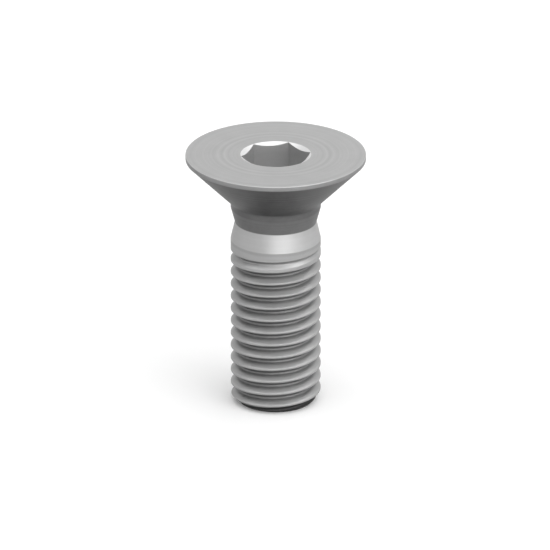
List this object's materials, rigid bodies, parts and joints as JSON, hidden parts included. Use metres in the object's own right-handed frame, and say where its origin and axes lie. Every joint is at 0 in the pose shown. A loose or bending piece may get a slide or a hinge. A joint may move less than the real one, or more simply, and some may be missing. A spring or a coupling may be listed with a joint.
{
  "type": "countersunk socket screw",
  "caption": "Countersunk steel screw with a flat conical head, a hexagon socket, a relieved neck, a threaded shank and a chamfered tip.",
  "frame": {"origin": "middle of the head's flat face, on the screw's axis, which lies flush with the surface the screw is sunk into", "axes": "+Z along the axis and out of the head's face, with the tip at z = -0.035 m; two flats of the socket face +Y and -Y, and two of its corners lie on X"},
  "size_m": [0.024, 0.024, 0.035],
  "materials": {
    "steel": "satin bare steel with fine turning marks"
  },
  "bodies": {
    "root": {"screw": "steel"}
  },
  "joints": []
}
